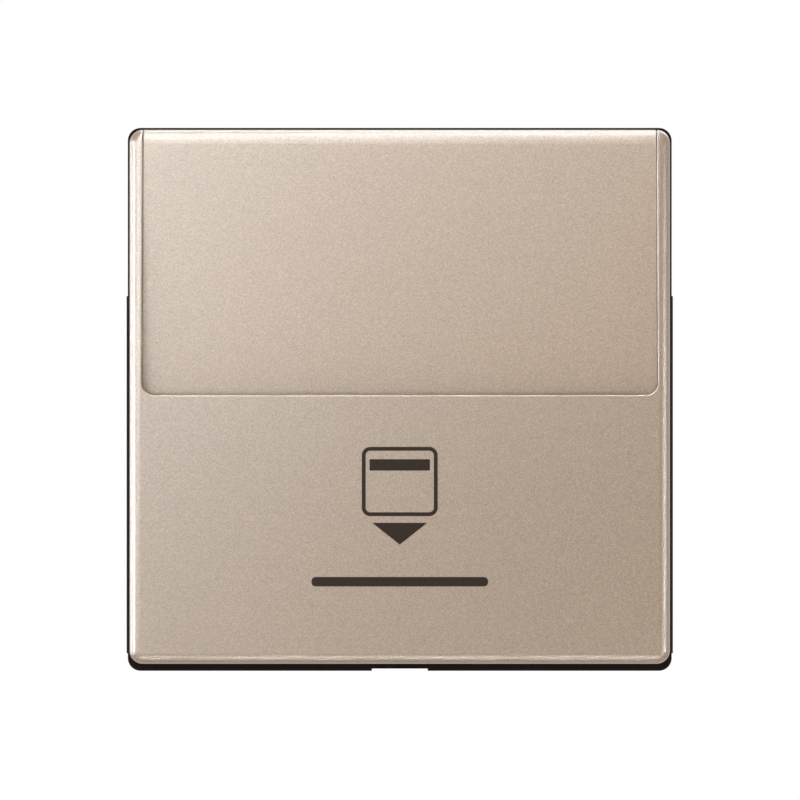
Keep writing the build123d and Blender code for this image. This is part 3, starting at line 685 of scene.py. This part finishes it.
class Fastening(NamedTuple):
    """Sizes of a kind of screw or rivet, and the way that its head faces."""

    shank_radius: float
    head_height: float
    thread_depth: float = 0
    thread_pitch: float = 0
    slot_width: float = 0
    slot_depth: float = 0
    facing: int = TO_FRONT


def domed_head(radius, neck, head, dome):
    """Outline of a fastener's head, from under its edge at the neck to the middle of its top."""
    outline = [(across * radius, neck + up * head) for across, up in dome]
    return [(radius, neck), *outline, (0, neck + head)]


def screw_outline(kind, radius, neck):
    """Outline of a screw or rivet: its tapered tip, the core of its shank, and its head."""
    core = kind.shank_radius - kind.thread_depth
    tip_height = 2 * kind.thread_depth
    return [
        (0, 0), (core - kind.thread_depth, 0), (core, tip_height), (core, neck),
        *domed_head(radius, neck, kind.head_height, SCREW_DOME),
    ]


def screw_details(kind, radius, neck):
    """Inputs of the fastener tree for the slot and the thread of a kind of screw."""
    # The cutter lies half in the head and is longer than the head is wide.
    details = {
        "Slot Width": kind.slot_width,
        "Slot Length": 3 * radius,
        "Slot Depth": 2 * kind.slot_depth,
    }
    if kind.thread_pitch:
        start = 2 * kind.thread_depth
        details["Thread Radius"] = kind.shank_radius - kind.thread_depth
        details["Thread Depth"] = kind.thread_depth
        details["Thread Turns"] = (neck - start) / kind.thread_pitch
        details["Thread Length"] = neck - start
        details["Thread Start"] = start
    return details


def turned_mesh(outline, steps=40):
    """Solid turned about Z from pairs of radius and height that begin and end on the axis."""
    work = bmesh.new()
    rings = []
    for radius, height in outline:
        if radius == 0:
            rings.append([work.verts.new((0, 0, height))])
            continue
        angles = [2 * math.pi * step / steps for step in range(steps)]
        rings.append([
            work.verts.new((radius * math.cos(a), radius * math.sin(a), height)) for a in angles
        ])
    for lower, upper in zip(rings, rings[1:]):
        for i in range(steps):
            j = (i + 1) % steps
            if len(lower) == 1:
                work.faces.new((lower[0], upper[j], upper[i]))
            elif len(upper) == 1:
                work.faces.new((lower[i], lower[j], upper[0]))
            else:
                work.faces.new((lower[i], lower[j], upper[j], upper[i]))
    bmesh.ops.recalc_face_normals(work, faces=work.faces)
    return finished_mesh(work, "turned_blank")


def fastener_tree():
    """Tree that slots a turned fastener, winds its thread, and puts one at every point."""
    tree, given = new_tree("fasteners_at_points", {
        "Fastener": "NodeSocketObject",
        "Slot Width": "NodeSocketFloat",
        "Slot Length": "NodeSocketFloat",
        "Slot Depth": "NodeSocketFloat",
        "Head Top": "NodeSocketFloat",
        "Thread Radius": "NodeSocketFloat",
        "Thread Depth": "NodeSocketFloat",
        "Thread Turns": "NodeSocketFloat",
        "Thread Length": "NodeSocketFloat",
        "Thread Start": "NodeSocketFloat",
        "Rotation": "NodeSocketVector",
        "Material": "NodeSocketMaterial",
    })
    blank = add_node(tree, "GeometryNodeObjectInfo", {"Object": given["Fastener"]})
    slot_size = add_node(tree, "ShaderNodeCombineXYZ", {
        0: given["Slot Length"], 1: given["Slot Width"], 2: given["Slot Depth"],
    })
    cutter = add_node(tree, "GeometryNodeMeshCube", {"Size": slot_size.outputs[0]})
    slot_place = add_node(tree, "ShaderNodeCombineXYZ", {2: given["Head Top"]})
    moved = add_node(tree, "GeometryNodeTransform", {
        "Geometry": cutter.outputs[0], "Translation": slot_place.outputs[0],
    })
    slotted = add_node(
        tree, "GeometryNodeMeshBoolean",
        {"Mesh 1": blank.outputs["Geometry"], "Mesh 2": moved.outputs[0]},
        operation="DIFFERENCE", solver="EXACT",
    )
    points_per_turn = 20
    spiral = add_node(tree, "GeometryNodeCurveSpiral", {
        "Resolution": points_per_turn,
        "Rotations": given["Thread Turns"],
        "Start Radius": given["Thread Radius"],
        "End Radius": given["Thread Radius"],
        "Height": given["Thread Length"],
    })
    # A thread's section is a square on its corner, half sunk in the core.
    section = add_node(tree, "GeometryNodeCurvePrimitiveCircle", {
        "Resolution": 4, "Radius": given["Thread Depth"],
    })
    thread = add_node(tree, "GeometryNodeCurveToMesh", {
        "Curve": spiral.outputs[0], "Profile Curve": section.outputs[0], "Fill Caps": True,
    })
    thread_place = add_node(tree, "ShaderNodeCombineXYZ", {2: given["Thread Start"]})
    wound = add_node(tree, "GeometryNodeTransform", {
        "Geometry": thread.outputs[0], "Translation": thread_place.outputs[0],
    })
    whole = add_node(tree, "GeometryNodeJoinGeometry")
    tree.links.new(slotted.outputs[0], whole.inputs[0])
    tree.links.new(wound.outputs[0], whole.inputs[0])
    placed = add_node(tree, "GeometryNodeInstanceOnPoints", {
        "Points": given["Geometry"], "Instance": whole.outputs[0], "Rotation": given["Rotation"],
    })
    close_tree(tree, placed.outputs[0], given["Material"])
    return tree


def fastener_mesh(tree, outline, boxes, material, facing, details=None):
    """Mesh of a kind of fastener in its solids' boxes, with the slot and thread of its details."""
    blank = bpy.data.objects.new("turned_blank", turned_mesh(outline))
    bpy.context.scene.collection.objects.link(blank)
    # A fastener starts at its tail, which is at the end of its box away from its head.
    tails = [
        ((low.x + high.x) / 2, high.y if facing == TO_FRONT else low.y, (low.z + high.z) / 2)
        for low, high in boxes
    ]
    mesh = made_at_points(tree, tails, {
        "Fastener": blank,
        "Head Top": max(height for radius, height in outline),
        "Rotation": (facing * math.pi / 2, 0, 0),
        "Material": material,
        **(details or {}),
    })
    bpy.data.objects.remove(blank)
    return mesh


def coil_tree():
    """Tree that winds a compression spring up Z, its end turns closer than the middle ones."""
    tree, given = new_tree("closed_end_coil", {
        "Radius": "NodeSocketFloat",
        "Wire Radius": "NodeSocketFloat",
        "Rise": "NodeSocketFloat",
        "Turns": "NodeSocketFloat",
        "Closed Share": "NodeSocketFloat",
        "Rotation": "NodeSocketVector",
        "Material": "NodeSocketMaterial",
    })
    points_along = 160
    points_round = 12
    line = add_node(tree, "GeometryNodeCurvePrimitiveLine", {"Start": (0, 0, 0), "End": (0, 0, 1)})
    dense = add_node(
        tree, "GeometryNodeResampleCurve", {"Curve": line.outputs[0], "Count": points_along}
    )
    share = add_node(tree, "GeometryNodeSplineParameter").outputs["Factor"]
    turns = add_node(tree, "ShaderNodeMath", {0: share, 1: given["Turns"]}, operation="MULTIPLY")
    angle = add_node(
        tree, "ShaderNodeMath", {0: turns.outputs[0], 1: 2 * math.pi}, operation="MULTIPLY"
    )
    across = add_node(tree, "ShaderNodeMath", {0: angle.outputs[0]}, operation="COSINE")
    along = add_node(tree, "ShaderNodeMath", {0: angle.outputs[0]}, operation="SINE")
    # The closed share of the rise is even, and the rest of it eases in and out.
    eased = add_node(tree, "ShaderNodeMapRange", {"Value": share}, interpolation_type="SMOOTHSTEP")
    height = add_node(
        tree, "ShaderNodeMix", {0: given["Closed Share"], 2: eased.outputs[0], 3: share}
    )
    unit_place = add_node(tree, "ShaderNodeCombineXYZ", {
        0: across.outputs[0], 1: along.outputs[0], 2: height.outputs[0],
    })
    coil_size = add_node(tree, "ShaderNodeCombineXYZ", {
        0: given["Radius"], 1: given["Radius"], 2: given["Rise"],
    })
    place = add_node(
        tree, "ShaderNodeVectorMath", {0: unit_place.outputs[0], 1: coil_size.outputs[0]},
        operation="MULTIPLY",
    )
    wound = add_node(tree, "GeometryNodeSetPosition", {
        "Geometry": dense.outputs[0], "Position": place.outputs[0],
    })
    section = add_node(tree, "GeometryNodeCurvePrimitiveCircle", {
        "Resolution": points_round, "Radius": given["Wire Radius"],
    })
    wire = add_node(tree, "GeometryNodeCurveToMesh", {
        "Curve": wound.outputs[0], "Profile Curve": section.outputs[0], "Fill Caps": True,
    })
    placed = add_node(tree, "GeometryNodeInstanceOnPoints", {
        "Points": given["Geometry"], "Instance": wire.outputs[0], "Rotation": given["Rotation"],
    })
    close_tree(tree, placed.outputs[0], given["Material"])
    return tree


class CARDSWITCH_OT_cover(bpy.types.Operator):
    """Lacquer the cover and the leaning panel, and print the pictogram on the lower panel"""

    bl_idname = "cardswitch.cover"
    bl_label = "Lacquered cover"

    def execute(self, context):
        colours = context.scene.card_switch_colours
        lacquer = champagne_lacquer(colours.lacquer)
        ink = pad_printing_ink(colours.ink)
        finish_nodes(lacquer, "upper_panel")
        # The print is a recess as deep as a film of ink, and its floor and sides are ink.
        film = 0.015 * MM
        mark = pictogram_mesh(context.scene.card_switch_sizes, cover_front - MM, cover_front + film)
        mark.materials.append(ink)
        cutter = bpy.data.objects.new("pictogram", mark)
        bare = finished_mesh(welded("front_cover"), "front_cover_merged")
        bare.materials.append(lacquer)
        holder = bpy.data.objects.new("holder", bare)
        for item in (cutter, holder):
            context.scene.collection.objects.link(item)
        cut = holder.modifiers.new("print", "BOOLEAN")
        cut.operation = "DIFFERENCE"
        cut.solver = "EXACT"
        cut.material_mode = "TRANSFER"
        cut.object = cutter
        graph = context.evaluated_depsgraph_get()
        mesh = bpy.data.meshes.new_from_object(holder.evaluated_get(graph))
        for item in (cutter, holder):
            bpy.data.objects.remove(item)
        keep_normals(mesh, "front_cover")
        body = body_name("front_cover")
        piece = add_piece("lacquered_front_cover", mesh, None, body)
        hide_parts("front_cover")
        return {"FINISHED"}


class CARDSWITCH_OT_housing(bpy.types.Operator):
    """Give the rear housing its dark moulded finish"""

    bl_idname = "cardswitch.housing"
    bl_label = "Rear housing"

    def execute(self, context):
        finish_nodes(dark_abs(context.scene.card_switch_colours.housing), "rear_housing")
        return {"FINISHED"}


class CARDSWITCH_OT_card_pocket(bpy.types.Operator):
    """Finish the pocket's back wall, the card lever, its pin and the leaf springs"""

    bl_idname = "cardswitch.card_pocket"
    bl_label = "Card pocket and lever"

    def execute(self, context):
        plastic = black_abs(context.scene.card_switch_colours.pocket)
        finish_nodes(plastic, "card_back_plate", "card_lever")
        finish_nodes(drawn_spring_wire(), "card_springs", "lever_pin")
        return {"FINISHED"}


class CARDSWITCH_OT_coils(bpy.types.Operator):
    """Wind the three coil springs, each riding on the body that its rear end stands on"""

    bl_idname = "cardswitch.coils"
    bl_label = "Coil springs"

    def execute(self, context):
        tree = coil_tree()
        steel = drawn_spring_wire()
        # Thickness of the wire, turns, and the body that the rear end stands on
        coils = {
            "lever_spring": (0.35 * MM, 4.0, "housing"),
            "button_spring": (0.4 * MM, 5.0, "housing"),
            "contact_spring": (0.45 * MM, 3.5, "contact_bridge"),
        }
        # End turns lie this many wires apart, from middle to middle.
        closed_pitch = 1.05
        for node, (wire, turns, body) in coils.items():
            low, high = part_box(node)
            rise = high.y - low.y - wire
            start = ((low.x + high.x) / 2, high.y - wire / 2, (low.z + high.z) / 2)
            mesh = made_at_points(tree, [start], {
                "Radius": (high.x - low.x - wire) / 2,
                "Wire Radius": wire / 2,
                "Rise": rise,
                "Turns": turns,
                "Closed Share": min(1.0, closed_pitch * turns * wire / rise),
                "Rotation": (math.pi / 2, 0, 0),
                "Material": steel,
            })
            piece = add_piece(node + "_coil", mesh, steel, body)
            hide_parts(node)
            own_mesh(piece)
        return {"FINISHED"}


class CARDSWITCH_OT_insert_front(bpy.types.Operator):
    """Finish the carrier plate, the front frame and the push button"""

    bl_idname = "cardswitch.insert_front"
    bl_label = "Front of the insert"

    def execute(self, context):
        white = white_polycarbonate(context.scene.card_switch_colours.insert)
        finish_nodes(white, "front_frame", "push_button")
        finish_nodes(zinc_plated_steel(), "carrier_plate")
        return {"FINISHED"}


class CARDSWITCH_OT_contacts(bpy.types.Operator):
    """Finish the contact strips, the bridge and the clamps, and dome the silver rivets"""

    bl_idname = "cardswitch.contacts"
    bl_label = "Contacts and terminals"

    def execute(self, context):
        finish_nodes(stamped_brass(), "contact_bridge", "contact_strip_left", "contact_strip_right")
        finish_nodes(drawn_spring_wire(), "terminal_clamps")
        silver = contact_silver()
        tree = fastener_tree()
        stud_radius = 0.7 * MM
        head = 0.7 * MM
        for node, facing in (("bridge_contacts", TO_WALL), ("fixed_contacts", TO_FRONT)):
            boxes = solid_boxes(node)
            low, high = boxes[0]
            neck = high.y - low.y - head
            outline = [
                (0, 0), (stud_radius, 0), (stud_radius, neck),
                *domed_head((high.x - low.x) / 2, neck, head, RIVET_DOME),
            ]
            mesh = fastener_mesh(tree, outline, boxes, silver, facing)
            piece = add_piece(node + "_domed", mesh, silver, body_name(node))
            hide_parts(node)
        return {"FINISHED"}


class CARDSWITCH_OT_base(bpy.types.Operator):
    """Finish the base in the wall box, its rear lid and the release levers"""

    bl_idname = "cardswitch.base"
    bl_label = "Base and rear lid"

    def execute(self, context):
        colours = context.scene.card_switch_colours
        soft = context.scene.card_switch_sizes.edge_softening
        thermoset = grey_thermoset(colours.base)
        orange = orange_pbt(colours.release)
        soften("switch_base", thermoset, soft)
        soften("base_rear_cover", thermoset, soft)
        soften("release_lever_left", orange, 2 * soft)
        soften("release_lever_right", orange, 2 * soft)
        return {"FINISHED"}


class CARDSWITCH_OT_claws(bpy.types.Operator):
    """Finish the spreading claws and their cross nuts"""

    bl_idname = "cardswitch.claws"
    bl_label = "Spreading claws"

    def execute(self, context):
        soft = context.scene.card_switch_sizes.edge_softening
        zinc = zinc_plated_steel()
        soften("claw_left", zinc, soft)
        soften("claw_right", zinc, soft)
        finish_nodes(turned_screw_steel(), "claw_nut_left", "claw_nut_right")
        return {"FINISHED"}


class CARDSWITCH_OT_screws(bpy.types.Operator):
    """Turn and thread all screws, and dome the plate's rivets"""

    bl_idname = "cardswitch.screws"
    bl_label = "Screws and rivets"

    def execute(self, context):
        steel = turned_screw_steel()
        tree = fastener_tree()
        claw_screw = Fastening(
            shank_radius=1.5 * MM, head_height=1.7 * MM, thread_depth=0.16 * MM,
            thread_pitch=context.scene.card_switch_sizes.claw_thread_pitch,
            slot_width=0.8 * MM, slot_depth=0.9 * MM,
        )
        kinds = {
            "claw_screw_left": claw_screw,
            "claw_screw_right": claw_screw,
            "frame_screws": Fastening(
                shank_radius=1.1 * MM, head_height=0.9 * MM, thread_depth=0.15 * MM,
                thread_pitch=0.9 * MM, slot_width=0.5 * MM, slot_depth=0.5 * MM,
            ),
            "housing_screws": Fastening(
                shank_radius=0.9 * MM, head_height=1.1 * MM, thread_depth=0.14 * MM,
                thread_pitch=0.8 * MM, slot_width=0.5 * MM, slot_depth=0.5 * MM, facing=TO_WALL,
            ),
            "plate_rivets": Fastening(shank_radius=1.0 * MM, head_height=0.6 * MM),
        }
        for node, kind in kinds.items():
            boxes = solid_boxes(node)
            low, high = boxes[0]
            radius = (high.x - low.x) / 2
            neck = high.y - low.y - kind.head_height
            outline = screw_outline(kind, radius, neck)
            details = screw_details(kind, radius, neck)
            mesh = fastener_mesh(tree, outline, boxes, steel, kind.facing, details)
            piece = add_piece(node + "_turned", mesh, steel, body_name(node))
            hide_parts(node)
        return {"FINISHED"}


def soft_light(name, place, target, size, power):
    """Area light at a place, turned to a target, its size in metres and its power in watts."""
    lamp = bpy.data.lights.new(name, "AREA")
    lamp.shape = "RECTANGLE"
    lamp.size, lamp.size_y = size
    lamp.energy = power
    holder = bpy.data.objects.new(name, lamp)
    bpy.context.scene.collection.objects.link(holder)
    holder.location = place
    holder.rotation_euler = (Vector(target) - Vector(place)).to_track_quat("-Z", "Y").to_euler()
    holder.visible_camera = False
    return holder


def light_group(name, *pieces):
    """Pieces that a light is kept to."""
    group = bpy.data.collections.new(name)
    for piece in pieces:
        group.objects.link(piece)
    return group


def sheen_card(name, place, size, power, pieces):
    """Near card that only the satin coat of some pieces reflects."""
    card = soft_light(name, place, (0, cover_front, 0), size, power)
    card.visible_diffuse = False
    # Joint sampling would let some of its light through to the paint under the coat.
    card.data.cycles.use_multiple_importance_sampling = False
    card.light_linking.receiver_collection = pieces


# Near cards that only the lacquer reflects, which brighten the upper left and the rims:
# the place of the middle and the size in metres, and the power in watts
SHEEN_CARDS = {
    "sheen_high": ((-0.05, -0.14, 0.09), (0.06, 0.06), 0.246),
    "sheen_centre": ((0, -0.14, 0.05), (0.06, 0.06), 0.071),
    "sheen_left": ((-0.06, -0.14, 0.03), (0.06, 0.06), 0.036),
    "sheen_middle": ((-0.05, -0.14, 0), (0.08, 0.08), 0.046),
    "sheen_far_left": ((-0.08, -0.125, 0.02), (0.06, 0.06), 0.11),
    "sheen_top": ((0, -0.09, 0.12), (0.16, 0.12), 0.263),
    "rim_left": ((-0.13, -0.05, -0.01), (0.05, 0.10), 0.35),
    "rim_right": ((0.115, -0.07, -0.03), (0.07, 0.10), 0.17),
    "rim_top": ((0.01, -0.05, 0.13), (0.10, 0.03), 0.171),
    "rim_left_back": ((-0.128, 0.03, -0.01), (0.06, 0.12), 0.15),
    "rim_top_back": ((0.01, 0.03, 0.128), (0.12, 0.06), 0.15),
    "rim_bottom": ((0, -0.028, -0.049), (0.10, 0.01), 0.016),
    "rim_bottom_front": ((0, -0.045, -0.047), (0.10, 0.014), 0.02),
}


class CARDSWITCH_OT_stage(bpy.types.Operator):
    """Lay the paper, hang the lights and set up the camera"""

    bl_idname = "cardswitch.stage"
    bl_label = "Studio"

    def execute(self, context):
        lay_paper(context)
        set_world()
        middle = (0, cover_front, 0)
        soft_light("key", (-0.5, -0.9, 0.5), middle, size=(0.5, 0.5), power=3.0)
        soft_light("back", (0.5, 0.9, 0.6), (0, 0, 0), size=(0.5, 0.5), power=3.0)
        cover = bpy.data.objects["lacquered_front_cover"]
        panel = frame["nodes"]["upper_panel"]
        lacquered = light_group("lacquered_pieces", cover, panel)
        for name, (place, size, power) in SHEEN_CARDS.items():
            sheen_card(name, place, size, power, lacquered)
        # The leaning panel lies in the shade of the rails, so it has weak lights of its own.
        leaning = light_group("leaning_piece", panel)
        sheen_card("sheen_panel", (-0.06, -0.14, -0.02), (0.06, 0.06), 0.028, leaning)
        fill = soft_light("panel_fill", (-0.03, -0.3, 0), middle, size=(0.2, 0.2), power=0.185)
        fill.light_linking.receiver_collection = leaning
        set_camera(context)
        return {"FINISHED"}


def lay_paper(context):
    """Flat sheet of studio paper under the object."""
    half = 3.0
    height = -0.052
    corners = [(x * half, y * half, height) for x, y in ((-1, -1), (1, -1), (1, 1), (-1, 1))]
    paper = bpy.data.meshes.new("studio_paper")
    paper.from_pydata(corners, [], [(0, 1, 2, 3)])
    paper.materials.append(studio_paper())
    floor = bpy.data.objects.new("studio_paper", paper)
    context.scene.collection.objects.link(floor)


def set_world():
    """White surroundings for the camera and for mirrors, and even grey light for the rest."""
    world = bpy.data.worlds.new("studio_surroundings")
    bpy.context.scene.world = world
    world.use_nodes = True
    tree = world.node_tree
    tree.nodes.clear()
    ambient = add_node(tree, "ShaderNodeBackground", {"Color": WHITE, "Strength": 0.6})
    white = add_node(tree, "ShaderNodeBackground", {"Color": WHITE, "Strength": 1.0})
    both = add_node(
        tree, "ShaderNodeMixShader",
        {0: seen_directly(tree), 1: ambient.outputs[0], 2: white.outputs[0]},
    )
    add_node(tree, "ShaderNodeOutputWorld", {"Surface": both.outputs[0]})


def set_camera(context):
    """Long lens straight in front of the cover."""
    distance = 3.0
    frame_width = 0.08424
    # The middle of the photograph lies this far to the right of and below the cover's middle.
    right = 0.000026
    below = 0.000068
    camera = bpy.data.cameras.new("front_camera")
    camera.sensor_width = 36
    camera.lens = camera.sensor_width * distance / frame_width
    camera.clip_start = 0.1
    camera.clip_end = 20
    holder = bpy.data.objects.new("front_camera", camera)
    context.scene.collection.objects.link(holder)
    holder.location = (right, cover_front - distance, -below)
    holder.rotation_euler = (math.pi / 2, 0, 0)
    context.scene.camera = holder
    context.scene.view_settings.view_transform = "Standard"


STEPS = (
    CARDSWITCH_OT_cover,
    CARDSWITCH_OT_housing,
    CARDSWITCH_OT_card_pocket,
    CARDSWITCH_OT_coils,
    CARDSWITCH_OT_insert_front,
    CARDSWITCH_OT_contacts,
    CARDSWITCH_OT_base,
    CARDSWITCH_OT_claws,
    CARDSWITCH_OT_screws,
    CARDSWITCH_OT_stage,
)


class CARDSWITCH_PT_panel(bpy.types.Panel):
    """Sidebar panel that lists the colours, the sizes and the steps"""

    bl_idname = "CARDSWITCH_PT_panel"
    bl_label = "Card switch"
    bl_space_type = "VIEW_3D"
    bl_region_type = "UI"
    bl_category = "Card switch"

    def draw(self, context):
        scene = context.scene
        for group in (scene.card_switch_colours, scene.card_switch_sizes):
            for name in group.__annotations__:
                self.layout.prop(group, name)
        for step in STEPS:
            self.layout.operator(step.bl_idname)


CLASSES = (CardSwitchColours, CardSwitchSizes, *STEPS, CARDSWITCH_PT_panel)


def register():
    """Register the classes, and give the scene its colours and sizes."""
    for item in CLASSES:
        bpy.utils.register_class(item)
    bpy.types.Scene.card_switch_colours = bpy.props.PointerProperty(type=CardSwitchColours)
    bpy.types.Scene.card_switch_sizes = bpy.props.PointerProperty(type=CardSwitchSizes)


def unregister():
    """Undo what register did, in the other order."""
    del bpy.types.Scene.card_switch_sizes
    del bpy.types.Scene.card_switch_colours
    for item in reversed(CLASSES):
        bpy.utils.unregister_class(item)


def main():
    """Register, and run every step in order."""
    register()
    bpy.ops.cardswitch.cover()
    bpy.ops.cardswitch.housing()
    bpy.ops.cardswitch.card_pocket()
    bpy.ops.cardswitch.coils()
    bpy.ops.cardswitch.insert_front()
    bpy.ops.cardswitch.contacts()
    bpy.ops.cardswitch.base()
    bpy.ops.cardswitch.claws()
    bpy.ops.cardswitch.screws()
    bpy.ops.cardswitch.stage()


if __name__ == "__main__":
    main()
